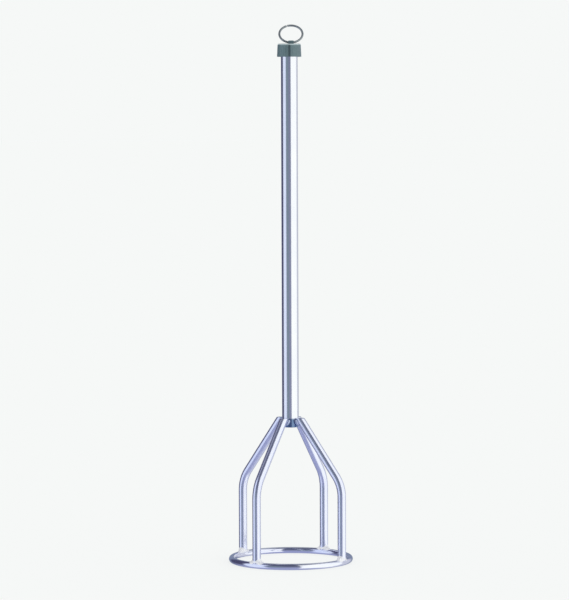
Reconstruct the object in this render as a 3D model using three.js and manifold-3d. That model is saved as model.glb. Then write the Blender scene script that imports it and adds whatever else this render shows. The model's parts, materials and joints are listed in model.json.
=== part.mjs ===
// Mortar mixing paddle: a round steel bar carrying a four-legged wire basket on a base ring.
//
// The bar, the legs, the base ring and their weld beads are one welded body. A soft plastic
// cap covers the drive end of the bar, and a split wire ring swings in a lug on the cap.
//
// Millimetres, +Z up. The origin is on the floor under the middle of the base ring, on the
// axis of the bar. +X is to the right and +Y to the rear of the paddle as it stands.

import * as THREE from 'three';
import { mergeVertices } from 'three/addons/utils/BufferGeometryUtils.js';
import Module from 'manifold-3d';

const wasm = await Module();
wasm.setup();

// ---------------------------------------------------------------- driving dimensions

const BASKET_DIAMETER = 120;
const OVERALL_LENGTH = 500;
const SHAFT_DIAMETER = 16;
const DRIVE_CHAMFER = 1;
const STUB_CHAMFER = 0.5;
const LEG_DIAMETER = 8;
const BASE_ROD_DIAMETER = 6;

// Kept between neighbours, where the real pieces touch or are fused by their welds.
const FIT_GAP = 0.3;

// Legs: vertical from the base ring, one bend, then a slant up to the side of the bar. They
// are set by eye before welding, so the front right one stands a little off its quarter turn.
const LEG_AZIMUTHS = { rear_right: 55, rear_left: 145, front_left: 235, front_right: 329 };
const LEG_TOP_HEIGHT = 140;
const LEG_TOP_RADIUS = 10.4;
const LEG_BEND_HEIGHT = 77;
const LEG_BEND_RADIUS = 33;
const FOOT_SINK = 1;
const SHAFT_STUB = 9;

// Weld beads, before their neighbours are cut out of them. Half sizes are outwards from the
// bar, sideways and up.
const RING_BEAD_HALF_SIZES = [5.3, 7.4, 3.1];
const RING_BEAD_RISE = 0.4;
const SHAFT_BEAD_HALF_SIZES = [4.8, 5.8, 4.4];
const SHAFT_BEAD_OFFSET = 2.4;

// Butt weld that closes the base ring, at the rear.
const SEAM_AZIMUTH = 125;
const SEAM_OPENING = 2.4;
const SEAM_PROUD = 0.4;

// End cap.
const CAP_HEIGHT = 12.5;
const CAP_MOUTH_DIAMETER = 23.4;
const CAP_TOP_DIAMETER = 22.2;
const CAP_ROOF = 2.2;
const CAP_EDGE = 1.2;

// Lug on the cap, and the hanging ring in it.
const LUG_OFFSET = 1.8;
const LUG_WIDTH = 5.2;
const LUG_RADIUS = 1.9;
const TUNNEL_RADIUS = 1.25;
const TUNNEL_OVERSHOOT = 0.5;
const RING_AXIS_HEIGHT = 1.2;
const RING_OUTER_DIAMETER = 24.3;
const RING_WIRE_DIAMETER = 2;
const RING_LEAN = 48;
const RING_OPENING = 0.8;
const RING_OPENING_ANGLE = 110;

// Facets round each section and along each curve.
const SHAFT_SIDES = 32;
const ROD_SIDES = 12;
const WIRE_SIDES = 8;
const LEG_STEPS = 30;
const BASE_RING_STEPS = 64;
const HANGING_RING_STEPS = 36;
const CAP_SIDES = 36;
const LUG_STEPS = 12;
const TUNNEL_SIDES = 24;
const TUNNEL_STEPS = 8;
const BEAD_SEGMENTS = [14, 9];

// ---------------------------------------------------------------- derived sizes

const SHAFT_RADIUS = SHAFT_DIAMETER / 2;
const LEG_RADIUS = LEG_DIAMETER / 2;
const BASE_ROD_RADIUS = BASE_ROD_DIAMETER / 2;
const BASE_RING_RADIUS = BASKET_DIAMETER / 2 - BASE_ROD_RADIUS;
const SHAFT_BOTTOM = LEG_TOP_HEIGHT - SHAFT_STUB;
const SHAFT_TOP = OVERALL_LENGTH - CAP_ROOF - FIT_GAP;
const WIRE_RADIUS = RING_WIRE_DIAMETER / 2;
const RING_RADIUS = RING_OUTER_DIAMETER / 2 - WIRE_RADIUS;
const RING_AXIS_Z = OVERALL_LENGTH + RING_AXIS_HEIGHT;

// ---------------------------------------------------------------- curves and sections

// An arc in a flat plane, from one angle to another, in radians.
class FlatArc extends THREE.Curve {
  constructor(centre, radius, start, end, across, up) {
    super();
    Object.assign(this, { centre, radius, start, end, across, up });
  }

  getPoint(t, target = new THREE.Vector3()) {
    const angle = this.start + (this.end - this.start) * t;
    return target
      .copy(this.centre)
      .addScaledVector(this.across, this.radius * Math.cos(angle))
      .addScaledVector(this.up, this.radius * Math.sin(angle));
  }
}

const X_AXIS = new THREE.Vector3(1, 0, 0);
const Y_AXIS = new THREE.Vector3(0, 1, 0);
const Z_AXIS = new THREE.Vector3(0, 0, 1);

// A rod's section as a polygon whose flats lie at the rod's radius, one of them facing down.
function rodSection(radius, sides) {
  const cornerRadius = radius / Math.cos(Math.PI / sides);
  const corners = [];
  for (let i = 0; i < sides; i += 1) {
    const angle = ((i + 0.5) * 2 * Math.PI) / sides;
    corners.push(new THREE.Vector2(cornerRadius * Math.cos(angle), cornerRadius * Math.sin(angle)));
  }
  return new THREE.Shape(corners);
}

function rodAlong(path, radius, sides, steps) {
  return new THREE.ExtrudeGeometry(rodSection(radius, sides), { extrudePath: path, steps });
}

// A ring of rod lying in the XY plane round a centre, open by a gap at one angle.
function openRing(centre, radius, rodRadius, gapAngle, gap, sides, steps) {
  const middle = THREE.MathUtils.degToRad(gapAngle);
  const start = middle + gap / radius / 2;
  const end = middle + 2 * Math.PI - gap / radius / 2;
  return rodAlong(new FlatArc(centre, radius, start, end, X_AXIS, Y_AXIS), rodRadius, sides, steps);
}

// A turned solid about the Z axis, from [radius, height] pairs.
function turned(profile, sides) {
  const points = profile.map(([radius, height]) => new THREE.Vector2(radius, height));
  const geometry = new THREE.LatheGeometry(points, sides);
  geometry.rotateX(Math.PI / 2);
  return geometry;
}

// ---------------------------------------------------------------- joining and cutting

function toSolid(geometry) {
  const bare = geometry.clone();
  bare.deleteAttribute('normal');
  bare.deleteAttribute('uv');
  const merged = mergeVertices(bare, 1e-4);
  const corners = merged.index.array;
  const triangles = [];
  for (let i = 0; i < corners.length; i += 3) {
    const [a, b, c] = corners.slice(i, i + 3);
    if (a !== b && b !== c && c !== a) triangles.push(a, b, c);
  }
  const vertProperties = new Float32Array(merged.attributes.position.array);
  const triVerts = new Uint32Array(triangles);
  return new wasm.Manifold(new wasm.Mesh({ numProp: 3, vertProperties, triVerts }));
}

function fromSolid(solid) {
  const { vertProperties, triVerts } = solid.getMesh();
  const geometry = new THREE.BufferGeometry();
  geometry.setAttribute('position', new THREE.BufferAttribute(vertProperties, 3));
  geometry.setIndex(new THREE.BufferAttribute(triVerts, 1));
  geometry.computeVertexNormals();
  return geometry;
}

// One geometry with others cut away from it.
function cut(geometry, ...cutters) {
  return fromSolid(cutters.reduce((left, cutter) => left.subtract(toSolid(cutter)), toSolid(geometry)));
}

// ---------------------------------------------------------------- materials

function finish(color, roughness, metalness) {
  return () => new THREE.MeshStandardMaterial({ color, roughness, metalness });
}

const platedShaft = finish(0xd4d7e4, 0.2, 1);
const platedRod = finish(0xc4c8de, 0.24, 1);
const platedWeld = finish(0xcdd1e0, 0.4, 1);
const capPlastic = finish(0x5f7880, 0.45, 0);
const ringWire = finish(0x70777b, 0.35, 1);

function part(name, geometry, material) {
  const mesh = new THREE.Mesh(geometry, material);
  mesh.name = name;
  return mesh;
}

// ---------------------------------------------------------------- the bar

function shaftGeometry() {
  const profile = [
    [0, SHAFT_BOTTOM],
    [SHAFT_RADIUS - STUB_CHAMFER, SHAFT_BOTTOM],
    [SHAFT_RADIUS, SHAFT_BOTTOM + STUB_CHAMFER],
    [SHAFT_RADIUS, SHAFT_TOP - DRIVE_CHAMFER],
    [SHAFT_RADIUS - DRIVE_CHAMFER, SHAFT_TOP],
    [0, SHAFT_TOP],
  ];
  return turned(profile, SHAFT_SIDES);
}

// ---------------------------------------------------------------- legs and base ring

// Everything about a leg is drawn in its own upright plane, with X pointing outwards.
const LEG_FOOT = new THREE.Vector3(BASE_RING_RADIUS, 0, BASE_ROD_DIAMETER - FOOT_SINK);
const LEG_CORNER = new THREE.Vector3(BASE_RING_RADIUS, 0, LEG_BEND_HEIGHT);
const LEG_TOP = new THREE.Vector3(LEG_TOP_RADIUS, 0, LEG_TOP_HEIGHT);
const LEG_SLOPE = new THREE.Vector3().subVectors(LEG_TOP, LEG_CORNER).normalize();
const LEG_SLANT = Math.acos(LEG_SLOPE.z);

// The centre line of a leg: it runs past the top, so that the end can be cut level.
function legPath(foot) {
  const tangentLength = LEG_BEND_RADIUS * Math.tan(LEG_SLANT / 2);
  const bendStart = LEG_CORNER.clone().addScaledVector(Z_AXIS, -tangentLength);
  const bendEnd = LEG_CORNER.clone().addScaledVector(LEG_SLOPE, tangentLength);
  const bendCentre = bendStart.clone().addScaledVector(X_AXIS, -LEG_BEND_RADIUS);
  const pastTop = LEG_TOP.clone().addScaledVector(LEG_SLOPE, LEG_DIAMETER);
  const path = new THREE.CurvePath();
  path.add(new THREE.LineCurve3(foot, bendStart));
  path.add(new FlatArc(bendCentre, LEG_BEND_RADIUS, 0, LEG_SLANT, X_AXIS, Z_AXIS));
  path.add(new THREE.LineCurve3(bendEnd, pastTop));
  return path;
}

// A cutter wider than the whole basket, with a level underside.
function levelBlock(bottom, height) {
  const width = 2 * BASKET_DIAMETER;
  return new THREE.BoxGeometry(width, width, height).translate(0, 0, bottom + height / 2);
}

// The bar and the base ring, grown by the fit gap, and a whole ring with no seam.
function shaftClearance() {
  const radius = (SHAFT_RADIUS + FIT_GAP) / Math.cos(Math.PI / SHAFT_SIDES);
  const profile = [
    [0, 0],
    [radius, 0],
    [radius, OVERALL_LENGTH],
    [0, OVERALL_LENGTH],
  ];
  return turned(profile, SHAFT_SIDES);
}

function baseRingClearance() {
  const section = rodSection(BASE_ROD_RADIUS + FIT_GAP, ROD_SIDES).getPoints();
  const profile = section.map((point) => [BASE_RING_RADIUS + point.x, BASE_ROD_RADIUS + point.y]);
  return turned([...profile, profile[0]], BASE_RING_STEPS);
}

function legGeometry() {
  const rod = rodAlong(legPath(LEG_FOOT), LEG_RADIUS, ROD_SIDES, LEG_STEPS);
  const aboveTop = levelBlock(LEG_TOP_HEIGHT, 2 * LEG_DIAMETER);
  return cut(rod, aboveTop, shaftClearance(), baseRingClearance());
}

function legClearance() {
  const foot = LEG_FOOT.clone().addScaledVector(Z_AXIS, -FIT_GAP);
  const rod = rodAlong(legPath(foot), LEG_RADIUS + FIT_GAP, ROD_SIDES, LEG_STEPS);
  return cut(rod, levelBlock(LEG_TOP_HEIGHT + FIT_GAP, 2 * LEG_DIAMETER));
}

function baseRingGeometry() {
  const centre = new THREE.Vector3(0, 0, BASE_ROD_RADIUS);
  return openRing(
    centre, BASE_RING_RADIUS, BASE_ROD_RADIUS, SEAM_AZIMUTH, SEAM_OPENING, ROD_SIDES, BASE_RING_STEPS,
  );
}

// ---------------------------------------------------------------- weld beads

// A bead is an egg-shaped lump with its neighbours, grown by the fit gap, cut out of it.
function lump(centre, halfSizes) {
  const geometry = new THREE.SphereGeometry(1, ...BEAD_SEGMENTS);
  geometry.rotateX(Math.PI / 2);
  geometry.scale(...halfSizes);
  geometry.translate(...centre);
  return geometry;
}

function ringWeldGeometry() {
  const centre = [BASE_RING_RADIUS, 0, BASE_ROD_DIAMETER + RING_BEAD_RISE];
  return cut(lump(centre, RING_BEAD_HALF_SIZES), legClearance(), baseRingClearance());
}

function shaftWeldGeometry() {
  const height = LEG_TOP_HEIGHT - SHAFT_BEAD_HALF_SIZES[2];
  const centre = [SHAFT_RADIUS + SHAFT_BEAD_OFFSET, 0, height];
  return cut(lump(centre, SHAFT_BEAD_HALF_SIZES), legClearance(), shaftClearance());
}

// The bead that fills the opening of the base ring, ground flat where the ring stands.
function seamWeldGeometry() {
  const thickness = SEAM_OPENING - 2 * FIT_GAP;
  const edge = BASE_ROD_RADIUS + SEAM_PROUD;
  const profile = [
    [0, -thickness / 2],
    [edge - SEAM_PROUD, -thickness / 2],
    [edge, -thickness / 4],
    [edge, thickness / 4],
    [edge - SEAM_PROUD, thickness / 2],
    [0, thickness / 2],
  ];
  const bead = turned(profile, ROD_SIDES);
  bead.rotateX(Math.PI / 2);
  bead.translate(BASE_RING_RADIUS, 0, BASE_ROD_RADIUS);
  return cut(bead, levelBlock(-BASE_ROD_DIAMETER, BASE_ROD_DIAMETER));
}

// ---------------------------------------------------------------- end cap

const TUNNEL_FLARE = 1 / (2 * RING_RADIUS);

// The tunnel through the lug opens out towards both ends, as the ring's wire curves through it.
function lugTunnel() {
  const reach = LUG_WIDTH / 2 + TUNNEL_OVERSHOOT;
  const profile = [[0, -reach]];
  for (let i = 0; i <= TUNNEL_STEPS; i += 1) {
    const along = -reach + (2 * reach * i) / TUNNEL_STEPS;
    profile.push([TUNNEL_RADIUS + along * along * TUNNEL_FLARE, along]);
  }
  profile.push([0, reach]);
  const tunnel = turned(profile, TUNNEL_SIDES);
  tunnel.rotateY(Math.PI / 2);
  tunnel.translate(LUG_OFFSET, 0, RING_AXIS_Z);
  return tunnel;
}

function lugBlock() {
  const outline = new THREE.Shape();
  outline.moveTo(-LUG_RADIUS, OVERALL_LENGTH - CAP_ROOF / 4);
  outline.lineTo(LUG_RADIUS, OVERALL_LENGTH - CAP_ROOF / 4);
  outline.absarc(0, RING_AXIS_Z, LUG_RADIUS, 0, Math.PI, false);
  const settings = { depth: LUG_WIDTH, bevelEnabled: false, curveSegments: LUG_STEPS };
  const block = new THREE.ExtrudeGeometry(outline, settings);
  block.translate(0, 0, -LUG_WIDTH / 2);
  block.applyMatrix4(new THREE.Matrix4().makeBasis(Y_AXIS, Z_AXIS, X_AXIS));
  block.translate(LUG_OFFSET, 0, 0);
  return block;
}

function endCapGeometry() {
  const mouth = OVERALL_LENGTH - CAP_HEIGHT;
  const ceiling = OVERALL_LENGTH - CAP_ROOF;
  const bore = SHAFT_RADIUS + FIT_GAP;
  const mouthRadius = CAP_MOUTH_DIAMETER / 2;
  const topRadius = CAP_TOP_DIAMETER / 2;
  const cornerInset = CAP_EDGE * (1 - Math.SQRT1_2);
  const profile = [
    [0, ceiling],
    [bore, ceiling],
    [bore, mouth + CAP_EDGE / 2],
    [bore + CAP_EDGE / 2, mouth],
    [mouthRadius - CAP_EDGE / 2, mouth],
    [mouthRadius, mouth + CAP_EDGE / 2],
    [topRadius, OVERALL_LENGTH - CAP_EDGE],
    [topRadius - cornerInset, OVERALL_LENGTH - cornerInset],
    [topRadius - CAP_EDGE, OVERALL_LENGTH],
    [0, OVERALL_LENGTH],
  ];
  const shell = toSolid(turned(profile, CAP_SIDES));
  return fromSolid(shell.add(toSolid(lugBlock())).subtract(toSolid(lugTunnel())));
}

// ---------------------------------------------------------------- hanging ring

// Drawn flat, with the wire passing through the origin; the lean tips it back.
function hangingRing() {
  const centre = new THREE.Vector3(0, RING_RADIUS, 0);
  const geometry = openRing(
    centre, RING_RADIUS, WIRE_RADIUS, RING_OPENING_ANGLE, RING_OPENING, WIRE_SIDES, HANGING_RING_STEPS,
  );
  const ring = part('hanging_ring', geometry, ringWire());
  ring.rotation.x = THREE.MathUtils.degToRad(RING_LEAN);
  ring.position.set(LUG_OFFSET, 0, RING_AXIS_Z);
  return ring;
}

// ---------------------------------------------------------------- the paddle

const paddle = new THREE.Group();
paddle.add(part('shaft', shaftGeometry(), platedShaft()));
paddle.add(part('base_ring', baseRingGeometry(), platedRod()));

const seamWeld = part('ring_seam_weld', seamWeldGeometry(), platedWeld());
seamWeld.rotation.z = THREE.MathUtils.degToRad(SEAM_AZIMUTH);
paddle.add(seamWeld);

for (const [corner, azimuth] of Object.entries(LEG_AZIMUTHS)) {
  const quarter = new THREE.Group();
  quarter.rotation.z = THREE.MathUtils.degToRad(azimuth);
  quarter.add(part(`leg_${corner}`, legGeometry(), platedRod()));
  quarter.add(part(`weld_shaft_${corner}`, shaftWeldGeometry(), platedWeld()));
  quarter.add(part(`weld_ring_${corner}`, ringWeldGeometry(), platedWeld()));
  paddle.add(quarter);
}

const capGroup = new THREE.Group();
capGroup.add(part('end_cap', endCapGeometry(), capPlastic()));
capGroup.add(hangingRing());
paddle.add(capGroup);

export default paddle;
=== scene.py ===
"""Looks of a mortar mixing paddle: bright plated bar and wire basket, plastic end cap, hanging ring.

Every piece is a fine mesh that takes the place of its CAD node. Lengths are in metres, +Z is up,
the paddle stands on the floor at z = 0, and the camera looks along +Y.
"""

import json
import math

import bpy
import numpy as np
from mathutils import Matrix, Vector, noise


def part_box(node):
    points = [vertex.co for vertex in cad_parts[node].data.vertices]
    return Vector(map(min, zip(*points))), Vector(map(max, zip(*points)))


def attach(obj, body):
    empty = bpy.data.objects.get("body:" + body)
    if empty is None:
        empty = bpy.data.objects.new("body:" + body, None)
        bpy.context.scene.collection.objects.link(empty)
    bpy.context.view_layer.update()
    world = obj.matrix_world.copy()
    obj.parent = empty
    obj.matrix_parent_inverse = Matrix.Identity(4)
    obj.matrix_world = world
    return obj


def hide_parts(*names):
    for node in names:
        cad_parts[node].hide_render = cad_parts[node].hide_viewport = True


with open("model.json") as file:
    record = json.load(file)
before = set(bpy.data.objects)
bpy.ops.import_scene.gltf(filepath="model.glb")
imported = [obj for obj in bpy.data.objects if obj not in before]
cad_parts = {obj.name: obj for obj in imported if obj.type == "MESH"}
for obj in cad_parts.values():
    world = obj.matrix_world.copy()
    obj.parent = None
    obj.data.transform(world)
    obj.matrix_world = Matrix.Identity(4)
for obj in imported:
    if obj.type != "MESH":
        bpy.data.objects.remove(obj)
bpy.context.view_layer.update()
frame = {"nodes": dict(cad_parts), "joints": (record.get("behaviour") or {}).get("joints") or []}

MM = 0.001
TAU = 2 * math.pi

# ---------------------------------------------------------------- sizes taken from the frame


def node_points(node):
    """The CAD node's corner points, one row each."""
    mesh = frame["nodes"][node].data
    flat = np.zeros(3 * len(mesh.vertices))
    mesh.vertices.foreach_get("co", flat)
    return flat.reshape(-1, 3)


def joint(name):
    """The frame's record of a joint."""
    return next(j for j in frame["joints"] if j["name"] == name)


shaft_low, shaft_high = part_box("shaft")
SHAFT_RADIUS = (shaft_high.x - shaft_low.x) / 2
SHAFT_BOTTOM = shaft_low.z
SHAFT_TOP = shaft_high.z

ring_low, ring_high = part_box("base_ring")
BASE_ROD_RADIUS = (ring_high.z - ring_low.z) / 2
BASE_RING_RADIUS = (ring_high.x - ring_low.x) / 2 - BASE_ROD_RADIUS
BASE_RING_HEIGHT = (ring_high.z + ring_low.z) / 2

cap_low, cap_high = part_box("end_cap")
CAP_MOUTH_RADIUS = (cap_high.y - cap_low.y) / 2
LUG_TOP = cap_high.z
HINGE = Vector(joint("ring_swing")["pos_m"])

hanging_low, hanging_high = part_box("hanging_ring")
HANGING_WIRE_RADIUS = 1.0 * MM
HANGING_RADIUS = (hanging_high.x - hanging_low.x) / 2 - HANGING_WIRE_RADIUS

LEGS = ("rear_right", "rear_left", "front_left", "front_right")


def leg_azimuth(corner):
    """Where a leg stands round the base ring, from the lowest points of its CAD node."""
    points = node_points(f"leg_{corner}")
    foot = points[points[:, 2] < points[:, 2].min() + LEG_FOOT_SLICE].mean(0)
    return math.atan2(foot[1], foot[0])


leg_low, leg_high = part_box("leg_front_left")
LEG_RADIUS = 4.0 * MM
LEG_FOOT_SLICE = 5.0 * MM
LEG_FOOT = leg_low.z
LEG_TOP = leg_high.z

# ---------------------------------------------------------------- sizes of the looks

SHAFT_STUB_CHAMFER = 0.5 * MM
SHAFT_DRIVE_CHAMFER = 1.0 * MM

LEG_TOP_REACH = 10.4 * MM
LEG_BEND_HEIGHT = 77.0 * MM
LEG_BEND_RADIUS = 33.0 * MM
LEG_CUT_LENGTH = 14.0 * MM
LEG_SADDLE_HEIGHT = 2.0 * MM
LEG_RIM = 0.35 * MM

SEAM_AZIMUTH = math.radians(125)
SEAM_GAP = 2.0 * MM
BASE_ROD_RIM = 0.4 * MM

CAP_HEIGHT = 12.5 * MM
CAP_ROOF = 2.2 * MM
CAP_TAPER = 0.6 * MM
CAP_EDGE = 1.0 * MM
CAP_LIP = 0.5 * MM
CAP_BORE_GAP = 0.25 * MM
HINGE_RISE = 1.2 * MM
CAP_TOP = HINGE.z - HINGE_RISE
CAP_MOUTH = CAP_TOP - CAP_HEIGHT

LUG_WIDTH = 5.2 * MM
LUG_FILLET = 0.35 * MM
TUNNEL_RADIUS = 1.25 * MM
TUNNEL_OVERSHOOT = 0.4 * MM

HANGING_LEAN = math.radians(48)
HANGING_GAP = 0.8 * MM
HANGING_GAP_ANGLE = math.radians(110)
HANGING_RIM = 0.2 * MM

# How finely the pieces are drawn: points round each section, and the spacing along each rod.
SHAFT_SIDES = 128
SHAFT_ROWS = 90
LEG_SIDES = 48
LEG_SPACING = 1.0 * MM
BASE_ROD_SIDES = 40
BASE_ROD_SPACING = 1.2 * MM
WIRE_SIDES = 32
WIRE_SPACING = 0.35 * MM
RIM_STEPS = 5

# The rings of points on a rod's flat end, as shares of its radius, then those on the flat faces
# of turned pieces: a share of the radius, and a distance from the axis.
FACE_SHARES = (0.02, 0.35, 0.7)
TURNED_FACE_SHARE = 0.6
NEAR_AXIS = 0.2 * MM

scene = bpy.context.scene

# ---------------------------------------------------------------- mesh helpers


def add_mesh(name, points, faces, material, straight=None):
    """A smooth mesh object. straight is each point's place for the grain, with bent rods unbent."""
    mesh = bpy.data.meshes.new(name)
    mesh.from_pydata([tuple(p) for p in points], [], faces)
    if straight is not None:
        attribute = mesh.attributes.new("straight", "FLOAT_VECTOR", "POINT")
        attribute.data.foreach_set("vector", np.asarray(straight, np.float32).ravel())
    mesh.shade_smooth()
    mesh.materials.append(material)
    mesh.update()
    piece = bpy.data.objects.new(name, mesh)
    scene.collection.objects.link(piece)
    return piece


def lattice_faces(rows, columns, loop=False):
    """Quads of a grid of points whose columns close round; loop closes the rows too."""
    faces = []
    for row in range(rows if loop else rows - 1):
        below = row * columns
        above = ((row + 1) % rows) * columns
        for column in range(columns):
            beside = (column + 1) % columns
            faces.append((below + column, below + beside, above + beside, above + column))
    return faces


def closed_rows(rows, columns):
    """Faces of a lattice of rings, with a many-sided face over the first and the last ring."""
    faces = lattice_faces(rows, columns)
    faces.append(tuple(reversed(range(columns))))
    faces.append(tuple((rows - 1) * columns + c for c in range(columns)))
    return faces


def turned(name, profile, sides, material, radius_at=None):
    """A solid of revolution about Z from (radius, height) pairs, first and last close to the axis."""
    angles = np.linspace(0, TAU, sides, endpoint=False)
    points, straight = [], []
    for radius, height in profile:
        for angle in angles:
            r = radius_at(radius, height, angle) if radius_at else radius
            points.append((r * math.cos(angle), r * math.sin(angle), height))
            straight.append(points[-1])
    return add_mesh(name, points, closed_rows(len(profile), sides), material, straight)


def arc_points(centre, radius, start, end, steps):
    """(radius, height) pairs round a corner of a profile, from one angle to another in degrees."""
    angles = np.radians(np.linspace(start, end, steps + 1))
    return [(centre[0] + radius * math.cos(a), centre[1] + radius * math.sin(a)) for a in angles]


def rod_stations(length, radius, spacing, fillet):
    """(distance along, radius) pairs of a rod with rounded rims on both of its flat ends."""
    turns = np.linspace(math.pi / 2, 0, RIM_STEPS + 1)
    rim = [(fillet * (1 - math.sin(t)), radius - fillet * (1 - math.cos(t))) for t in turns]
    faces_in = [(0.0, (radius - fillet) * share) for share in FACE_SHARES]
    middle = [(s, radius) for s in np.arange(fillet + spacing, length - fillet - spacing / 2, spacing)]
    head = faces_in + rim
    tail = [(length - s, r) for s, r in reversed(head)]
    return head + middle + tail


def rod(name, path, normal, stations, sides, material, reshape=None, cut=None):
    """A round rod along a flat path. normal stands up from the path's plane.

    cut = (start, slope) slants the far end: past start each point slides along the rod in
    proportion to how far it is from the middle. reshape moves a finished point.
    """
    length = stations[-1][0]
    points, straight = [], []
    for along, radius in stations:
        for side in range(sides):
            angle = TAU * side / sides
            across, up = radius * math.cos(angle), radius * math.sin(angle)
            place = along
            if cut:
                place += cut[1] * across * min(max((along - cut[0]) / (length - cut[0]), 0), 1)
            middle, tangent = path(place)
            outward = normal.cross(tangent)
            point = middle + outward * across + normal * up
            points.append(reshape(point) if reshape else point)
            straight.append((across, up, place))
    return add_mesh(name, points, closed_rows(len(stations), sides), material, straight)


def circle_path(centre, radius, first, second, start):
    """Distance along a circle to a point and a tangent. first and second span its plane."""

    def place(along):
        angle = start + along / radius
        point = centre + first * (radius * math.cos(angle)) + second * (radius * math.sin(angle))
        tangent = second * math.cos(angle) - first * math.sin(angle)
        return point, tangent

    return place


def outward_and_sideways(azimuth):
    """Level directions away from the bar and round it, at an angle from +X."""
    return (
        Vector((math.cos(azimuth), math.sin(azimuth), 0)),
        Vector((-math.sin(azimuth), math.cos(azimuth), 0)),
    )


X_AXIS = Vector((1, 0, 0))
Y_AXIS = Vector((0, 1, 0))
Z_AXIS = Vector((0, 0, 1))

# ---------------------------------------------------------------- material helpers


class Nodes:
    """A node tree under construction. A node's inputs take numbers, colours or other sockets."""

    def __init__(self, tree):
        self.tree = tree
        tree.nodes.clear()

    def add(self, kind, inputs=None, **settings):
        node = self.tree.nodes.new(kind)
        for key, value in settings.items():
            setattr(node, key, value)
        for key, value in (inputs or {}).items():
            if isinstance(value, bpy.types.NodeSocket):
                self.tree.links.new(value, node.inputs[key])
            else:
                node.inputs[key].default_value = value
        return node

    def math(self, operation, *values):
        node = self.add("ShaderNodeMath", dict(enumerate(values)), operation=operation)
        return node.outputs[0]

    def varied(self, factor, base, amount):
        """A base value with an amount of a factor added to it."""
        return self.math("MULTIPLY_ADD", factor, amount, base)

    def ramp(self, factor, stops):
        """A colour ramp from (position, colour) stops; a number stands for a grey."""
        node = self.add("ShaderNodeValToRGB", {"Fac": factor})
        elements = node.color_ramp.elements
        while len(elements) < len(stops):
            elements.new(1.0)
        for element, (position, colour) in zip(elements, stops):
            element.position = position
            rgb = (colour,) * 3 if isinstance(colour, (int, float)) else colour
            element.color = (*rgb, 1.0)
        return node.outputs["Color"]

    def noise(self, vector, scale, detail, roughness):
        """Cloudy noise from nought to one; scale is how many patches there are to a metre."""
        inputs = {"Vector": vector, "Scale": scale, "Detail": detail, "Roughness": roughness}
        return self.add("ShaderNodeTexNoise", inputs).outputs["Fac"]

    def stretched(self, vector, scale):
        """A place scaled along each axis, for noise that is drawn out along one of them."""
        inputs = {"Vector": vector, "Scale": scale}
        return self.add("ShaderNodeMapping", inputs).outputs["Vector"]

    def mix(self, factor, first, second):
        """The first colour, giving way to the second as the factor rises to one."""
        node = self.add("ShaderNodeMix", data_type="RGBA")
        for socket, value in ((0, factor), (6, first), (7, second)):
            if isinstance(value, bpy.types.NodeSocket):
                self.tree.links.new(value, node.inputs[socket])
            else:
                node.inputs[socket].default_value = value
        return node.outputs[2]

    def bump(self, height, distance, strength, normal=None):
        inputs = {"Height": height, "Distance": distance, "Strength": strength}
        if normal is not None:
            inputs["Normal"] = normal
        return self.add("ShaderNodeBump", inputs).outputs["Normal"]


def new_material(name):
    material = bpy.data.materials.new(name)
    material.use_nodes = True
    return material, Nodes(material.node_tree)


def finish_material(nodes, inputs):
    shader = nodes.add("ShaderNodeBsdfPrincipled", inputs)
    nodes.add("ShaderNodeOutputMaterial", {"Surface": shader.outputs["BSDF"]})


BRIGHT, BRIGHT_SHADE = (0.95, 0.95, 0.97), (0.86, 0.87, 0.91)
MILKY, MILKY_SHADE = (0.90, 0.92, 1.0), (0.78, 0.80, 0.95)
SPECK = (0.42, 0.42, 0.5, 1.0)
# Painted shade: the dark blue the bar is painted below the legs' tops, where the legs close round it.
SHADE_BLUE = (0.17, 0.25, 0.40, 1.0)
DRAW_DEPTH = 0.006 * MM
PLATE_GRAIN_DEPTH = 0.001 * MM
SHADE_EDGE_DRIFT = 2.0 * MM
SHADE_EDGE_ABOVE, SHADE_EDGE_BELOW = 1.5 * MM, 0.5 * MM

FOOT_WELD, FOOT_WELD_SHADE = (1.0, 1.0, 1.0), (0.86, 0.88, 0.95)
TOP_WELD, TOP_WELD_SHADE = (0.62, 0.68, 0.85), (0.35, 0.42, 0.60)
WELD_GRIT_DEPTH = 0.015 * MM

PLASTIC, PLASTIC_SHADE = (0.130, 0.190, 0.206), (0.088, 0.145, 0.160)
PLASTIC_STREAK = (0.070, 0.115, 0.126, 1.0)
# Painted shade: the near-black teal painted into the groove down the front of the cap.
PLASTIC_GROOVE_SHADE = (0.020, 0.034, 0.040, 1.0)
# Painted highlight: the pale teal painted on the rounded top rim of the cap.
PLASTIC_RIM_HIGHLIGHT = (0.62, 0.72, 0.74, 1.0)
PLASTIC_SHEEN = (0.80, 0.97, 1.0, 1.0)
PLASTIC_GRAIN_DEPTH = 0.015 * MM
GROOVE_SHADE_TOP = CAP_TOP - 0.4 * MM
RIM_HIGHLIGHT_TOP = CAP_TOP + 0.05 * MM

WIRE, WIRE_SHADE = (0.38, 0.42, 0.43), (0.19, 0.21, 0.22)
WIRE_DRAW_DEPTH = 0.01 * MM


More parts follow.
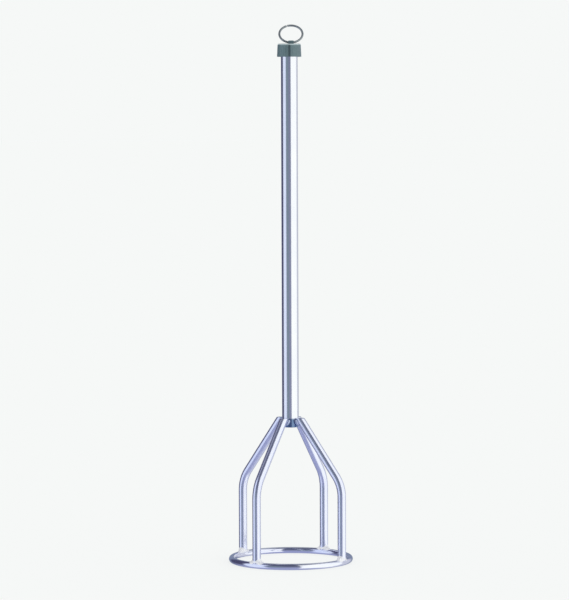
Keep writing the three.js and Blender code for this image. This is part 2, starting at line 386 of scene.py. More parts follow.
def plated_steel(name, light, shade, roughness, metallic, shade_below=None):
    """Bright zinc plate over drawn steel: fine lines along the rod, faint clouds and specks.

    Below the height given last the plate is painted dark blue, as painted shade where the legs close
    round the bar.
    """
    line_share, speck_share = 0.22, 0.25
    cloud_spread, grain_spread = 0.10, 0.08
    material, nodes = new_material(name)
    place = nodes.add("ShaderNodeAttribute", attribute_name="straight").outputs["Vector"]
    clouds = nodes.noise(nodes.stretched(place, (60.0, 60.0, 22.0)), 1.0, 5.0, 0.6)
    lines = nodes.noise(nodes.stretched(place, (2600.0, 2600.0, 14.0)), 1.0, 3.0, 0.6)
    grain = nodes.noise(place, 1500.0, 4.0, 0.7)
    spots = nodes.noise(place, 620.0, 2.0, 0.5)
    specks = nodes.ramp(spots, [(0.0, 1.0), (0.27, 1.0), (0.31, 0.0)])
    tint = nodes.ramp(clouds, [(0.3, shade), (0.7, light)])
    lined = nodes.mix(nodes.math("MULTIPLY", lines, line_share), tint, (*shade, 1.0))
    colour = nodes.mix(nodes.math("MULTIPLY", specks, speck_share), lined, SPECK)
    # Painted shade: below the legs' tops the bar's colour gives way to dark blue over a cloudy edge.
    if shade_below is not None:
        height = nodes.add("ShaderNodeSeparateXYZ", {"Vector": place}).outputs["Z"]
        inputs = {
            "Value": nodes.varied(clouds, height, SHADE_EDGE_DRIFT),
            "From Min": shade_below + SHADE_EDGE_ABOVE,
            "From Max": shade_below - SHADE_EDGE_BELOW,
        }
        leg_shade = nodes.add("ShaderNodeMapRange", inputs, interpolation_type="SMOOTHSTEP")
        colour = nodes.mix(leg_shade.outputs["Result"], colour, SHADE_BLUE)
    clouded = nodes.varied(clouds, roughness - cloud_spread / 2, cloud_spread)
    rough = nodes.varied(grain, clouded, grain_spread)
    drawn = nodes.bump(lines, DRAW_DEPTH, 0.6)
    normal = nodes.bump(grain, PLATE_GRAIN_DEPTH, 0.4, drawn)
    inputs = {"Base Color": colour, "Metallic": metallic, "Roughness": rough, "Normal": normal}
    finish_material(nodes, inputs)
    return material


def plated_weld(name, light, shade, metallic):
    """Zinc plate over weld metal: mottled and gritty."""
    material, nodes = new_material(name)
    place = nodes.add("ShaderNodeAttribute", attribute_name="straight").outputs["Vector"]
    mottle = nodes.noise(place, 420.0, 5.0, 0.6)
    grit = nodes.noise(place, 1800.0, 4.0, 0.7)
    colour = nodes.ramp(mottle, [(0.3, shade), (0.7, light)])
    rough = nodes.varied(mottle, 0.2, 0.22)
    normal = nodes.bump(grit, WELD_GRIT_DEPTH, 0.6)
    inputs = {"Base Color": colour, "Metallic": metallic, "Roughness": rough, "Normal": normal}
    finish_material(nodes, inputs)
    return material


def front_groove_shade(nodes, parts):
    """How much painted shade a place gets: only in the groove down the front of the cap's wall."""
    # On the front the sideways place over the forward place is the tangent of the turn.
    aside = nodes.math("ABSOLUTE", nodes.math("DIVIDE", parts["X"], parts["Y"]))
    front = nodes.math("LESS_THAN", parts["Y"], 0.0)
    on_wall = nodes.math("LESS_THAN", parts["Z"], GROOVE_SHADE_TOP)
    slot = nodes.ramp(aside, [(0.04, 0.8), (0.13, 0.0)])
    return nodes.math("MULTIPLY", slot, nodes.math("MULTIPLY", front, on_wall))


def cap_plastic():
    """Moulded plastic: blue-grey with cloudy patches, painted shade in the front groove and a painted
    highlight on the top rim.
    """
    streak_share, highlight_least = 0.5, 0.3
    material, nodes = new_material("cap_plastic")
    place = nodes.add("ShaderNodeTexCoord").outputs["Object"]
    clouds = nodes.noise(place, 190.0, 4.0, 0.6)
    streaks = nodes.noise(nodes.stretched(place, (700.0, 700.0, 90.0)), 1.0, 3.0, 0.6)
    grain = nodes.noise(place, 4200.0, 3.0, 0.6)
    base = nodes.ramp(clouds, [(0.32, PLASTIC_SHADE), (0.68, PLASTIC)])
    colour = nodes.mix(nodes.math("MULTIPLY", streaks, streak_share), base, PLASTIC_STREAK)
    parts = nodes.add("ShaderNodeSeparateXYZ", {"Vector": place}).outputs
    # Painted shade darkens the front groove.
    colour = nodes.mix(front_groove_shade(nodes, parts), colour, PLASTIC_GROOVE_SHADE)
    facing = nodes.add("ShaderNodeNewGeometry").outputs["Normal"]
    upward = nodes.add("ShaderNodeSeparateXYZ", {"Vector": facing}).outputs["Z"]
    # Painted highlight: the rounded top rim, where it faces partly upward, is painted pale in patches.
    rim = nodes.ramp(upward, [(0.08, 0.0), (0.22, 1.0), (0.6, 1.0), (0.8, 0.0)])
    on_cap = nodes.math("LESS_THAN", parts["Z"], RIM_HIGHLIGHT_TOP)
    patchy = nodes.math("ADD", clouds, highlight_least)
    rim_highlight = nodes.math("MULTIPLY", nodes.math("MULTIPLY", rim, on_cap), patchy)
    colour = nodes.mix(rim_highlight, colour, PLASTIC_RIM_HIGHLIGHT)
    inputs = {
        "Base Color": colour,
        "Roughness": nodes.varied(clouds, 0.26, 0.12),
        "Normal": nodes.bump(grain, PLASTIC_GRAIN_DEPTH, 0.4),
        "IOR": 1.8,
        "Specular Tint": PLASTIC_SHEEN,
    }
    finish_material(nodes, inputs)
    return material


def ring_wire():
    """Drawn steel wire gone dull grey, darker in patches."""
    material, nodes = new_material("ring_wire")
    place = nodes.add("ShaderNodeAttribute", attribute_name="straight").outputs["Vector"]
    patches = nodes.noise(nodes.stretched(place, (500.0, 500.0, 160.0)), 1.0, 4.0, 0.6)
    lines = nodes.noise(nodes.stretched(place, (6000.0, 6000.0, 120.0)), 1.0, 3.0, 0.6)
    colour = nodes.ramp(patches, [(0.3, WIRE_SHADE), (0.7, WIRE)])
    rough = nodes.varied(patches, 0.2, 0.2)
    normal = nodes.bump(lines, WIRE_DRAW_DEPTH, 0.6)
    inputs = {"Base Color": colour, "Metallic": 0.65, "Roughness": rough, "Normal": normal}
    finish_material(nodes, inputs)
    return material


shaft_metal = plated_steel("plated_shaft", BRIGHT, BRIGHT_SHADE, 0.10, 1.0, LEG_TOP)
ring_metal = plated_steel("plated_ring", BRIGHT, MILKY_SHADE, 0.08, 1.0)
rod_metal = plated_steel("plated_rod", MILKY, MILKY_SHADE, 0.15, 0.95)
foot_weld_metal = plated_weld("plated_foot_weld", FOOT_WELD, FOOT_WELD_SHADE, 0.2)
top_weld_metal = plated_weld("plated_top_weld", TOP_WELD, TOP_WELD_SHADE, 0.85)
plastic = cap_plastic()
wire_metal = ring_wire()


def settle(piece, node, body):
    """The piece stands for its CAD node and rides on its body."""
    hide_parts(node)
    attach(piece, body)
    return piece


# ---------------------------------------------------------------- the bar


def build_shaft():
    """The round bar, with a small chamfer below and a larger one at its drive end."""
    lower, upper = SHAFT_STUB_CHAMFER, SHAFT_DRIVE_CHAMFER
    r = SHAFT_RADIUS
    clear_of_ends = 4.0 * MM
    heights = np.linspace(SHAFT_BOTTOM + clear_of_ends, SHAFT_TOP - clear_of_ends, SHAFT_ROWS)
    profile = [(NEAR_AXIS, SHAFT_BOTTOM), (r * TURNED_FACE_SHARE, SHAFT_BOTTOM)]
    profile += arc_points((r - lower, SHAFT_BOTTOM + lower), lower, -90, 0, steps=5)
    profile += [(r, z) for z in heights]
    profile += arc_points((r - upper, SHAFT_TOP - upper), upper, 0, 90, steps=6)
    profile += [(r * TURNED_FACE_SHARE, SHAFT_TOP), (NEAR_AXIS, SHAFT_TOP)]
    piece = turned("shaft_fine", profile, SHAFT_SIDES, shaft_metal)
    return settle(piece, "shaft", "paddle")


# ---------------------------------------------------------------- legs

LEG_RISE = LEG_TOP - LEG_BEND_HEIGHT
LEG_SLANT = math.atan2(BASE_RING_RADIUS - LEG_TOP_REACH, LEG_RISE)
BEND_TANGENT = LEG_BEND_RADIUS * math.tan(LEG_SLANT / 2)
BEND_LENGTH = LEG_BEND_RADIUS * LEG_SLANT
UPRIGHT_LENGTH = LEG_BEND_HEIGHT - BEND_TANGENT - LEG_FOOT
SLANT_LENGTH = LEG_RISE / math.cos(LEG_SLANT) - BEND_TANGENT
LEG_LENGTH = UPRIGHT_LENGTH + BEND_LENGTH + SLANT_LENGTH


def leg_path(azimuth):
    """Distance up a leg to a point and a tangent: upright, bend, slant."""
    out = outward_and_sideways(azimuth)[0]
    bend_start = out * BASE_RING_RADIUS + Z_AXIS * (LEG_FOOT + UPRIGHT_LENGTH)
    bend_centre = bend_start - out * LEG_BEND_RADIUS
    slope = Z_AXIS * math.cos(LEG_SLANT) - out * math.sin(LEG_SLANT)
    bend_end = bend_centre + (out * math.cos(LEG_SLANT) + Z_AXIS * math.sin(LEG_SLANT)) * LEG_BEND_RADIUS

    def place(along):
        past_upright = along - UPRIGHT_LENGTH
        if past_upright < 0:
            return bend_start + Z_AXIS * past_upright, Z_AXIS
        past_bend = past_upright - BEND_LENGTH
        if past_bend < 0:
            turn = past_upright / LEG_BEND_RADIUS
            spoke = out * math.cos(turn) + Z_AXIS * math.sin(turn)
            tangent = Z_AXIS * math.cos(turn) - out * math.sin(turn)
            return bend_centre + spoke * LEG_BEND_RADIUS, tangent
        return bend_end + slope * past_bend, slope

    return place


def ring_surface(point):
    """Height of the top of the base ring's rod under a point."""
    offset = abs(math.hypot(point.x, point.y) - BASE_RING_RADIUS)
    if offset >= BASE_ROD_RADIUS:
        return 0.0
    return BASE_RING_HEIGHT + math.sqrt(BASE_ROD_RADIUS**2 - offset**2)


def fit_leg_ends(point):
    """Saddles the foot on the base ring and copes the top to the bar."""
    if point.z < LEG_FOOT + LEG_SADDLE_HEIGHT:
        point = Vector((point.x, point.y, max(point.z, ring_surface(point))))
    reach = math.hypot(point.x, point.y)
    if reach < SHAFT_RADIUS:
        grow = SHAFT_RADIUS / reach
        point = Vector((point.x * grow, point.y * grow, point.z))
    return point


def build_leg(corner):
    """A bent leg, from its saddle on the base ring to its level-cut top beside the bar."""
    azimuth = leg_azimuth(corner)
    side = outward_and_sideways(azimuth)[1]
    stations = rod_stations(LEG_LENGTH, LEG_RADIUS, LEG_SPACING, LEG_RIM)
    # The side normal crossed with the tangent points outwards and up, so the far end is cut level
    # by sliding outer points back and inner points on along the slant.
    cut = (LEG_LENGTH - LEG_CUT_LENGTH, -math.tan(LEG_SLANT))
    path = leg_path(azimuth)
    piece = rod(f"leg_{corner}_fine", path, side, stations, LEG_SIDES, rod_metal, fit_leg_ends, cut)
    return settle(piece, f"leg_{corner}", "paddle")


# ---------------------------------------------------------------- base ring


def build_base_ring():
    """A rod bent to a circle, with the gap that its butt weld fills."""
    half = SEAM_GAP / BASE_RING_RADIUS / 2
    length = TAU * BASE_RING_RADIUS - SEAM_GAP
    centre = Z_AXIS * BASE_RING_HEIGHT
    path = circle_path(centre, BASE_RING_RADIUS, X_AXIS, Y_AXIS, SEAM_AZIMUTH + half)
    stations = rod_stations(length, BASE_ROD_RADIUS, BASE_ROD_SPACING, BASE_ROD_RIM)
    piece = rod("base_ring_fine", path, Z_AXIS, stations, BASE_ROD_SIDES, ring_metal)
    return settle(piece, "base_ring", "paddle")


# ---------------------------------------------------------------- weld beads


def roughened(point, depth, pitch):
    """A small uneven offset for weld metal, the same at every run."""
    return depth * noise.noise(point * (1 / pitch))


# Foot beads: how high each climbs the leg and how far it spreads, the least of it across the
# base ring and what is added along the ring.
FOOT_CLIMB, FOOT_CLIMB_ALONG = 1.4 * MM, 2.6 * MM
FOOT_SPREAD, FOOT_SPREAD_ALONG = 0.3 * MM, 3.6 * MM
FOOT_BULGE, FOOT_BULGE_ALONG = 0.7 * MM, 0.5 * MM
FOOT_BULGE_LOWNESS = 0.65
FOOT_TOE_LIMIT = 0.86 * BASE_ROD_RADIUS
FOOT_RIPPLE_DEPTH, FOOT_RIPPLES = 0.16 * MM, 26
FOOT_LUMP_DEPTH, FOOT_LUMP_PITCH, FOOT_LUMP_REACH = 0.3 * MM, 9 * MM, 40 * MM
FOOT_TUCK, FOOT_TOE_TUCK = 0.08 * MM, 0.05 * MM
FOOT_ROOT_IN, FOOT_ROOT_DOWN = 1.4 * MM, 1.2 * MM
FOOT_ROWS, FOOT_CURVE_POINTS = 96, 18
FOOT_UNDERSIDE_SHARES = (0.3, 0.6, 0.9)


def foot_weld_section(out, direction, turn):
    """The points round a foot bead's section: down its curved face and back under it."""
    along_ring = abs(math.sin(turn)) ** 1.5
    ripple = FOOT_RIPPLE_DEPTH * math.sin(FOOT_RIPPLES * turn)
    ripple += roughened(direction * FOOT_LUMP_REACH, FOOT_LUMP_DEPTH, FOOT_LUMP_PITCH)
    ring_top = BASE_RING_HEIGHT + BASE_ROD_RADIUS
    centre = out * BASE_RING_RADIUS

    toe_reach = LEG_RADIUS + FOOT_SPREAD + FOOT_SPREAD_ALONG * along_ring + ripple
    across = abs(math.cos(turn))
    if toe_reach * across > FOOT_TOE_LIMIT:
        toe_reach = FOOT_TOE_LIMIT / across

    high = centre + direction * (LEG_RADIUS - FOOT_TUCK)
    high.z = ring_top + FOOT_CLIMB + FOOT_CLIMB_ALONG * along_ring + ripple
    low = centre + direction * toe_reach
    low.z = ring_surface(low) - FOOT_TOE_TUCK
    bulge = centre + direction * (LEG_RADIUS + FOOT_BULGE + FOOT_BULGE_ALONG * along_ring + ripple)
    bulge.z = (1 - FOOT_BULGE_LOWNESS) * high.z + FOOT_BULGE_LOWNESS * low.z
    root = centre + direction * (LEG_RADIUS - FOOT_ROOT_IN)
    root.z = ring_top - FOOT_ROOT_DOWN

    face = [
        high * (1 - t) ** 2 + bulge * (2 * t * (1 - t)) + low * t**2
        for t in (point / (FOOT_CURVE_POINTS - 1) for point in range(FOOT_CURVE_POINTS))
    ]
    return face + [low.lerp(root, t) for t in FOOT_UNDERSIDE_SHARES] + [root.lerp(high, 0.5)]


def build_ring_weld(corner):
    """A fillet round the foot of a leg, drawn out along the base ring."""
    out, side = outward_and_sideways(leg_azimuth(corner))
    points = []
    for row in range(FOOT_ROWS):
        turn = TAU * row / FOOT_ROWS
        direction = out * math.cos(turn) + side * math.sin(turn)
        section = foot_weld_section(out, direction, turn)
        points += section
    faces = lattice_faces(FOOT_ROWS, len(section), loop=True)
    straight = [tuple(point) for point in points]
    piece = add_mesh(f"weld_ring_{corner}_fine", points, faces, foot_weld_metal, straight)
    return settle(piece, f"weld_ring_{corner}", "paddle")


# Top beads: each runs round a leg from side to side, lowest and furthest out in its middle.
TOP_BEAD_REACH, TOP_BEAD_STAND_OFF = 8.3 * MM, 1.1 * MM
TOP_BEAD_HALF_WIDTH = 4.3 * MM
TOP_BEAD_END_DROP, TOP_BEAD_DROP = 1.2 * MM, 4.6 * MM
TOP_BEAD_RADIUS = 1.75 * MM
TOP_BEAD_LEAST = 0.0004
TOP_RIPPLE_DEPTH, TOP_RIPPLES = 0.07, 54
TOP_LUMP_DEPTH, TOP_LUMP_PITCH = 0.12, 2 * MM
TOP_ROWS, TOP_SIDES = 90, 28


def build_shaft_weld(corner):
    """A bead in the valley between a leg and the bar: down one side, under the leg, up the other."""
    out, side = outward_and_sideways(leg_azimuth(corner))
    points = []
    for row in range(TOP_ROWS):
        share = 2 * row / (TOP_ROWS - 1) - 1
        turn = 0.5 * math.pi * share
        middle = out * (TOP_BEAD_REACH + TOP_BEAD_STAND_OFF * math.cos(turn))
        middle += side * (TOP_BEAD_HALF_WIDTH * math.sin(turn))
        middle.z = LEG_TOP - TOP_BEAD_END_DROP - TOP_BEAD_DROP * math.cos(turn)
        tangent = side * (TOP_BEAD_HALF_WIDTH * math.cos(turn))
        tangent += Z_AXIS * (TOP_BEAD_DROP * math.sin(turn))
        tangent -= out * (TOP_BEAD_STAND_OFF * math.sin(turn))
        tangent.normalize()
        first = tangent.cross(out).normalized()
        second = tangent.cross(first)
        dome = math.sqrt(max(1 - abs(share) ** 6, TOP_BEAD_LEAST))
        ripple = 1 + TOP_RIPPLE_DEPTH * math.sin(TOP_RIPPLES * share)
        ripple += roughened(middle, TOP_LUMP_DEPTH, TOP_LUMP_PITCH)
        girth = TOP_BEAD_RADIUS * dome * ripple
        for column in range(TOP_SIDES):
            angle = TAU * column / TOP_SIDES
            points.append(middle + first * (girth * math.cos(angle)) + second * (girth * math.sin(angle)))
    faces = closed_rows(TOP_ROWS, TOP_SIDES)
    straight = [tuple(point) for point in points]
    piece = add_mesh(f"weld_shaft_{corner}_fine", points, faces, top_weld_metal, straight)
    return settle(piece, f"weld_shaft_{corner}", "paddle")


# The seam bead: a band round the gap between the ends of the base ring's rod.
SEAM_WIDTH = 3.4 * MM
SEAM_SWELL = 0.42 * MM
SEAM_EDGE_TUCK = 0.05 * MM
SEAM_GROUND_HEIGHT = 0.05 * MM
SEAM_FACE_RADII = (0.1 * MM, 0.6 * BASE_ROD_RADIUS)
SEAM_LUMP_DEPTH, SEAM_LUMP_PITCH = 0.06, 1.6 * MM
SEAM_STEPS, SEAM_SIDES = 22, 48


def seam_lumps(point):
    """Swells and shrinks the bead a little, and keeps it above the face the paddle stands on."""
    centre = Z_AXIS * BASE_RING_HEIGHT
    spoke = Vector((point.x, point.y, 0)).normalized() * BASE_RING_RADIUS
    away = point - centre - spoke
    grown = spoke + away * (1 + roughened(point, SEAM_LUMP_DEPTH, SEAM_LUMP_PITCH)) + centre
    return Vector((grown.x, grown.y, max(grown.z, SEAM_GROUND_HEIGHT)))


def build_seam_weld():
    """The butt weld that closes the base ring, a lumpy band ground flat underneath."""
    start = SEAM_AZIMUTH - SEAM_WIDTH / BASE_RING_RADIUS / 2
    path = circle_path(Z_AXIS * BASE_RING_HEIGHT, BASE_RING_RADIUS, X_AXIS, Y_AXIS, start)
    stations = [(0.0, radius) for radius in SEAM_FACE_RADII]
    for step in range(SEAM_STEPS + 1):
        share = step / SEAM_STEPS
        swell = SEAM_SWELL * math.sin(math.pi * share) ** 0.6
        stations.append((SEAM_WIDTH * share, BASE_ROD_RADIUS - SEAM_EDGE_TUCK + swell))
    stations += [(SEAM_WIDTH, radius) for radius in reversed(SEAM_FACE_RADII)]
    piece = rod("ring_seam_weld_fine", path, Z_AXIS, stations, SEAM_SIDES, foot_weld_metal, seam_lumps)
    return settle(piece, "ring_seam_weld", "paddle")


# ---------------------------------------------------------------- end cap

# Grip ribs round the wall, between two shares of the cap's height, each with a share to fade over.
CAP_RIBS = 36
CAP_RIB_DEPTH = 0.12 * MM
CAP_POINTS_PER_RIB = 8
CAP_RIBS_FROM, CAP_RIBS_FADE_IN = 0.02, 0.1
CAP_RIBS_UP_TO, CAP_RIBS_FADE_OUT = 0.86, 0.08
CAP_GROOVE_DEPTH = 0.3 * MM
CAP_GROOVE_HALF_ANGLE = math.radians(7)
CAP_WALL_DEPTH = 1.2 * MM
CAP_WALL_SHARES = np.linspace(0.12, 0.90, 26)
CAP_BORE_ROWS = 8
CAP_TOP_SHARES = (0.75, 0.5, 0.25)


def within_one(value):
    """A value held between nought and one."""
    return min(1.0, max(0.0, value))


def from_front(angle):
    """How far an angle round the cap is from the side that faces the camera, in radians."""
    return abs(math.remainder(angle + math.pi / 2, TAU))


def cap_radius(radius, height, angle):
    """Grip ribs round the wall of the cap, fading out towards both rims, and one front groove."""
    if radius < CAP_MOUTH_RADIUS - CAP_WALL_DEPTH:
        return radius
    slot = max(0.0, 1 - (from_front(angle) / CAP_GROOVE_HALF_ANGLE) ** 2)
    share = (height - CAP_MOUTH) / CAP_HEIGHT
    rise = within_one((share - CAP_RIBS_FROM) / CAP_RIBS_FADE_IN)
    fall = within_one((CAP_RIBS_UP_TO - share) / CAP_RIBS_FADE_OUT)
    between_ribs = (0.5 - 0.5 * math.cos(CAP_RIBS * angle)) ** 2
    return radius - CAP_GROOVE_DEPTH * slot - CAP_RIB_DEPTH * between_ribs * rise * fall


def modified(piece, kind, **settings):
    """Adds a modifier to a piece and applies it to its mesh."""
    modifier = piece.modifiers.new(kind, kind)
    for key, value in settings.items():
        setattr(modifier, key, value)
    bpy.context.view_layer.update()
    shown = piece.evaluated_get(bpy.context.evaluated_depsgraph_get())
    mesh = bpy.data.meshes.new_from_object(shown)
    piece.modifiers.clear()
    piece.data = mesh
    return piece


def cap_shell():
    """The cap without its lug, from the middle of its ceiling round the mouth to its top."""
    bore = SHAFT_RADIUS + CAP_BORE_GAP
    ceiling = CAP_TOP - CAP_ROOF
    mouth, wall = CAP_MOUTH, CAP_MOUTH_RADIUS
    top_wall = wall - CAP_TAPER
    lip, edge = CAP_LIP, CAP_EDGE
    bore_heights = np.linspace(ceiling - 2 * lip, mouth + 2 * lip, CAP_BORE_ROWS)
    profile = [(NEAR_AXIS, ceiling), (bore * TURNED_FACE_SHARE, ceiling), (bore - lip, ceiling)]
    profile += arc_points((bore - lip, ceiling - lip), lip, 90, 0, steps=4)[1:]
    profile += [(bore, z) for z in bore_heights]
    profile += arc_points((bore + lip, mouth + lip), lip, 180, 270, steps=5)
    profile += arc_points((wall - lip, mouth + lip), lip, -90, 0, steps=5)
    profile += [(wall - CAP_TAPER * share, mouth + CAP_HEIGHT * share) for share in CAP_WALL_SHARES]
    profile += arc_points((top_wall - edge, CAP_TOP - edge), edge, 0, 90, steps=8)
    profile += [(top_wall * share, CAP_TOP) for share in CAP_TOP_SHARES]
    profile += [(NEAR_AXIS, CAP_TOP)]
    return turned("end_cap_fine", profile, CAP_RIBS * CAP_POINTS_PER_RIB, plastic, cap_radius)


# The lug's outline flares below its waist, and its root is sunk in the roof of the cap.
LUG_ROOT_DEPTH = 0.6 * MM
LUG_ROOT_FLARE = 0.5 * MM
LUG_WAIST_FLARE = 0.12 * MM
LUG_WAIST_HEIGHT = 0.35 * MM
LUG_ARCH_POINTS = 24
LUG_FILLET_POINTS = 5
TUNNEL_SIDES, TUNNEL_ROWS = 40, 17
SHARP_EDGE = math.radians(40)


def lug_block():
    """An arch across the top of the cap, with rounded rims."""
    outer = LUG_TOP - HINGE.z
    root = CAP_TOP - HINGE.z - LUG_ROOT_DEPTH
    waist = CAP_TOP - HINGE.z + LUG_WAIST_HEIGHT
    outline = [(-outer - LUG_ROOT_FLARE, root), (-outer - LUG_WAIST_FLARE, waist)]
    for turn in np.linspace(0, math.pi, LUG_ARCH_POINTS):
        outline.append((-outer * math.cos(turn), outer * math.sin(turn)))
    outline += [(outer + LUG_WAIST_FLARE, waist), (outer + LUG_ROOT_FLARE, root)]
    rows = []
    for turn in np.linspace(0, math.pi / 2, LUG_FILLET_POINTS):
        shrink = LUG_FILLET * (1 - math.sin(turn))
        rows.append((-LUG_WIDTH / 2 + LUG_FILLET * (1 - math.cos(turn)), shrink))
    rows += [(-x, shrink) for x, shrink in reversed(rows)]
    points = []
    for x, shrink in rows:
        scale = 1 - shrink / outer
        points += [(HINGE.x + x, y * scale, HINGE.z + z * scale) for y, z in outline]
    return add_mesh("lug", points, closed_rows(len(rows), len(outline)), plastic)


def lug_tunnel():
    """The cutter of the lug's tunnel, flared to both ends as the ring's wire curves through it."""
    reach = LUG_WIDTH / 2 + TUNNEL_OVERSHOOT
    points = []
    for x in np.linspace(-reach, reach, TUNNEL_ROWS):
        radius = TUNNEL_RADIUS + x * x / (2 * HANGING_RADIUS)
        for side in range(TUNNEL_SIDES):
            angle = TAU * side / TUNNEL_SIDES
            points.append((HINGE.x + x, radius * math.cos(angle), HINGE.z + radius * math.sin(angle)))
    return add_mesh("tunnel", points, closed_rows(TUNNEL_ROWS, TUNNEL_SIDES), plastic)


def build_end_cap():
    """The cap with its lug joined on and the lug's tunnel cut through."""
    piece = cap_shell()
    lug, tunnel = lug_block(), lug_tunnel()
    modified(piece, "BOOLEAN", operation="UNION", object=lug, solver="EXACT")
    modified(piece, "BOOLEAN", operation="DIFFERENCE", object=tunnel, solver="EXACT")
    for helper in (lug, tunnel):
        bpy.data.objects.remove(helper)
    piece.data.shade_smooth()
    piece.data.set_sharp_from_angle(angle=SHARP_EDGE)
    return settle(piece, "end_cap", "cap")


# ---------------------------------------------------------------- hanging ring


def build_hanging_ring():
    """The split wire ring, leaning to the rear, with its wire through the hinge."""
    up = Vector((0, math.cos(HANGING_LEAN), math.sin(HANGING_LEAN)))
    centre = HINGE + up * HANGING_RADIUS
    half = HANGING_GAP / HANGING_RADIUS / 2
    length = TAU * HANGING_RADIUS - HANGING_GAP
    path = circle_path(centre, HANGING_RADIUS, X_AXIS, up, HANGING_GAP_ANGLE + half)
    stations = rod_stations(length, HANGING_WIRE_RADIUS, WIRE_SPACING, HANGING_RIM)
    piece = rod("hanging_ring_fine", path, X_AXIS.cross(up), stations, WIRE_SIDES, wire_metal)
    return settle(piece, "hanging_ring", "ring")


# ---------------------------------------------------------------- studio

PALE = (0.9216, 0.9387, 0.9301)
FLOOR_EVENNESS = 0.8
FLOOR_HALF_SIZE = 40.0

# The soft light at the horizon, and how much brighter it is overhead: as much as leaves the light
# on a level face at one.
SIDE_GLOW = 0.7
OVERHEAD_GLOW = 1.5 * (1 - SIDE_GLOW)


def add_floor():
    """A pale floor that shows only faint shadows and isn't mirrored in the plating."""
    size = FLOOR_HALF_SIZE
    corners = [(-size, -size, 0), (size, -size, 0), (size, size, 0), (-size, size, 0)]
    material, nodes = new_material("floor")
    lit = nodes.add("ShaderNodeBsdfDiffuse", {"Color": (*PALE, 1.0)})
    even = nodes.add("ShaderNodeEmission", {"Color": (*PALE, 1.0), "Strength": 1.0})
    shaders = {0: FLOOR_EVENNESS, 1: lit.outputs["BSDF"], 2: even.outputs["Emission"]}
    shader = nodes.add("ShaderNodeMixShader", shaders)
    nodes.add("ShaderNodeOutputMaterial", {"Surface": shader.outputs["Shader"]})
    floor = add_mesh("floor", corners, [(0, 1, 2, 3)], material)
    floor.visible_glossy = False


# What the plating mirrors. The room shades from dark overhead to pale violet underfoot.
ROOM = [
    (-90, (0.35, 0.38, 0.59)),
    (-35, (0.34, 0.37, 0.58)),
    (-12, (0.28, 0.30, 0.45)),
    (-2, (0.23, 0.25, 0.36)),
    (6, (0.16, 0.18, 0.26)),
    (40, (0.09, 0.10, 0.18)),
    (90, (0.09, 0.10, 0.15)),
]

# Soft panels in it: the way their middle faces, measured round from the camera to the right, and
# their middle height, half width and half height with the softness of each edge, in degrees.
PANELS = [
    {"turn": -130, "rise": 22, "wide": (33, 6), "high": (45, 22), "colour": (0.07, 0.07, 0.14)},
    {"turn": 180, "rise": 0, "wide": (30, 10), "high": (24, 12), "colour": (0.23, 0.27, 0.38)},
    {"turn": 150, "rise": 52, "wide": (52, 12), "high": (20, 10), "colour": (0.42, 0.45, 0.50)},
    {"turn": 125, "rise": -10, "wide": (25, 10), "high": (45, 15), "colour": (0.62, 0.64, 0.72)},
    {"turn": -30, "rise": 2, "wide": (14, 8), "high": (18, 10), "colour": (0.20, 0.26, 0.32)},
    {"turn": -74, "rise": 0, "wide": (24, 6), "high": (48, 12), "colour": (0.76, 0.83, 1.02)},
    {"turn": 65, "rise": 4, "wide": (46, 3), "high": (58, 14), "colour": (1.06, 1.09, 1.10)},
]


def soft_mask(nodes, distance, half, soft):
    """One where an angle is under half - soft degrees, falling to nought at half + soft."""
    inputs = {
        "Value": distance,
        "From Min": math.radians(half + soft),
        "From Max": math.radians(half - soft),
        "To Min": 0.0,
        "To Max": 1.0,
    }
    return nodes.add("ShaderNodeMapRange", inputs, interpolation_type="SMOOTHSTEP").outputs["Result"]


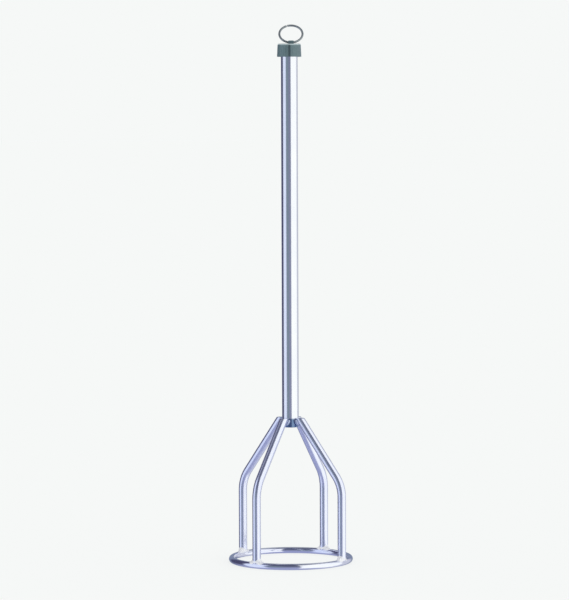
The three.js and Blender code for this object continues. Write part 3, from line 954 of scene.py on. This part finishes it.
def add_world():
    """A studio that is even for the floor and the plastic, with soft panels for what is polished."""
    world = bpy.data.worlds.new("studio")
    scene.world = world
    world.use_nodes = True
    nodes = Nodes(world.node_tree)
    direction = nodes.add("ShaderNodeTexCoord").outputs["Generated"]
    parts = nodes.add("ShaderNodeSeparateXYZ", {"Vector": direction}).outputs
    turn = nodes.math("ARCTAN2", parts["X"], nodes.math("MULTIPLY", parts["Y"], -1.0))
    rise = nodes.math("ARCSINE", parts["Z"])
    share = nodes.varied(rise, 0.5, 1 / math.pi)
    mirrored = nodes.ramp(share, [((degrees + 90) / 180, colour) for degrees, colour in ROOM])
    for panel in PANELS:
        aside = nodes.math("COSINE", nodes.math("SUBTRACT", turn, math.radians(panel["turn"])))
        across = soft_mask(nodes, nodes.math("ARCCOSINE", aside), *panel["wide"])
        off = nodes.math("ABSOLUTE", nodes.math("SUBTRACT", rise, math.radians(panel["rise"])))
        mask = nodes.math("MULTIPLY", across, soft_mask(nodes, off, *panel["high"]))
        mirrored = nodes.mix(mask, mirrored, (*panel["colour"], 1.0))
    rays = nodes.add("ShaderNodeLightPath").outputs
    upward = nodes.math("MAXIMUM", parts["Z"], 0.0)
    glow = nodes.varied(upward, SIDE_GLOW, OVERHEAD_GLOW)
    soft = nodes.mix(rays["Is Camera Ray"], glow, (*PALE, 1.0))
    colour = nodes.mix(rays["Is Glossy Ray"], soft, mirrored)
    background = nodes.add("ShaderNodeBackground", {"Color": colour, "Strength": 1.0})
    nodes.add("ShaderNodeOutputWorld", {"Surface": background.outputs["Background"]})


CAMERA_PLACE = Vector((-5.3, -3000.0, 438.0)) * MM
CAMERA_PITCH = math.radians(3.514)
CAMERA_ROLL = math.radians(-0.2)
CAMERA_LENS = 187.1
CAMERA_SENSOR = 36.0
CAMERA_FAR_END = 200.0


def add_camera():
    data = bpy.data.cameras.new("camera")
    data.sensor_width = CAMERA_SENSOR
    data.lens = CAMERA_LENS
    data.clip_end = CAMERA_FAR_END
    camera = bpy.data.objects.new("camera", data)
    tilt = Matrix.Rotation(math.pi / 2 - CAMERA_PITCH, 4, "X")
    camera.matrix_world = Matrix.Translation(CAMERA_PLACE) @ tilt @ Matrix.Rotation(CAMERA_ROLL, 4, "Z")
    scene.collection.objects.link(camera)
    scene.camera = camera


add_camera()
add_world()
add_floor()
scene.view_settings.view_transform = "Standard"

build_shaft()
build_base_ring()
build_seam_weld()
for corner in LEGS:
    build_leg(corner)
    build_shaft_weld(corner)
    build_ring_weld(corner)
build_end_cap()
build_hanging_ring()
